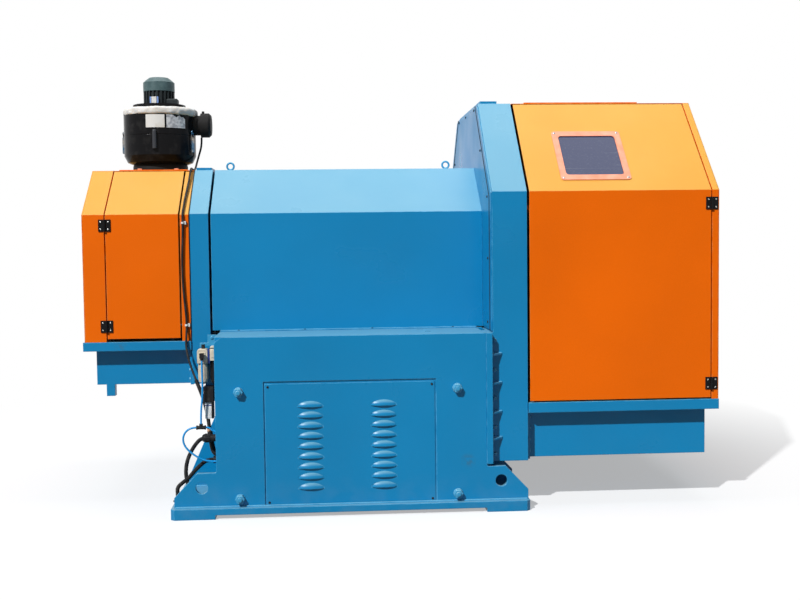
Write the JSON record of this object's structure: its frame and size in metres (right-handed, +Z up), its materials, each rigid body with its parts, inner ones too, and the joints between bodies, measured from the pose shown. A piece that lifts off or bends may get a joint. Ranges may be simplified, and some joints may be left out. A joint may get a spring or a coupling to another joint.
{
  "type": "interlock armoring machine",
  "caption": "Fixed cable armouring machine: louvred steel base, blue portals and drive cover, orange guard hoods with hinged doors, vacuum unit and air service set.",
  "frame": {"origin": "on the floor at the centre of the anchor bolt pattern, under the machine axis", "axes": "+X along the machine axis towards the large hood, +Y to the back, +Z up"},
  "size_m": [2.611, 1.656, 1.838],
  "materials": {
    "blue_paint": "semi-gloss sky blue machine enamel",
    "orange_paint": "semi-gloss orange enamel on sheet steel",
    "blue_fasteners": "nuts and studs painted over with the base",
    "machined_steel": "turned steel",
    "black_hinge": "black enamelled butt hinge",
    "copper_trim": "salmon pink trim frame",
    "window_glass": "dark smoked pane",
    "black_drum": "glossy black",
    "latch_steel": "bright toggle latch steel",
    "cream_cloth": "cream filter cloth",
    "motor_green": "grey green motor enamel",
    "black_plastic": "matt black moulding",
    "beige_plastic": "beige moulding with dark blue accents",
    "blue_tube": "blue polyurethane tube",
    "black_rubber": "black cable sheath and corrugated conduit",
    "white_plastic": "white nylon tie mount"
  },
  "bodies": {
    "machine": {"base_floor_plate": "blue_paint", "base_front_wall": "blue_paint", "base_back_wall": "blue_paint", "base_left_wall": "blue_paint", "base_right_wall": "blue_paint", "base_deck": "blue_paint", "base_gussets": "blue_paint", "access_panels": "blue_paint", "base_tie_bolts": "blue_fasteners", "left_portal": "blue_paint", "right_portal": "blue_paint", "right_portal_cover": "blue_paint", "portal_ribs": "blue_paint", "left_spindle_nose": "machined_steel", "right_spindle_nose": "machined_steel", "central_hood": "blue_paint", "eye_bolts": "blue_fasteners", "right_hood_end_wall": "orange_paint", "right_hood_roof": "orange_paint", "right_hood_back": "orange_paint", "right_hood_post": "orange_paint", "left_hood_end_wall": "orange_paint", "left_hood_roof": "orange_paint", "left_hood_back": "orange_paint", "left_hood_posts": "orange_paint", "fixed_hinge_leaves": "black_hinge", "right_shelf": "blue_paint", "right_under_frame": "blue_paint", "left_shelf": "blue_paint", "left_under_frame": "blue_paint", "vacuum_mount": "orange_paint", "vacuum_drum": "black_drum", "drum_latches": "latch_steel", "drum_handle": "black_plastic", "drum_collar": "cream_cloth", "motor_body": "motor_green", "motor_cowl": "motor_green", "motor_terminal_box": "motor_green", "vacuum_inlet_box": "black_plastic", "service_bracket": "blue_paint", "air_service_set": "beige_plastic", "solenoid_valve": "black_plastic", "tube_tee": "black_plastic", "air_tubes": "blue_tube", "power_cable": "black_rubber", "cable_hoses": "black_rubber", "hose_glands": "black_plastic", "cable_ties": "white_plastic"},
    "right_door_leaf": {"right_door": "orange_paint", "window_frame": "copper_trim", "window_pane": "window_glass", "right_door_hinge_leaves": "black_hinge"},
    "left_door_leaf": {"left_door": "orange_paint", "left_door_hinge_leaves": "black_hinge"}
  },
  "joints": [
    {"name": "right_door_hinge", "type": "hinge", "parent": "machine", "child": "right_door_leaf", "pos_m": [1.477, -0.759, 0.8575], "axis": [0, 0, 1], "range_deg": [0, 110]},
    {"name": "left_door_hinge", "type": "hinge", "parent": "machine", "child": "left_door_leaf", "pos_m": [-1.005, -0.499, 0.953], "axis": [0, 0, -1], "range_deg": [0, 110]}
  ]
}
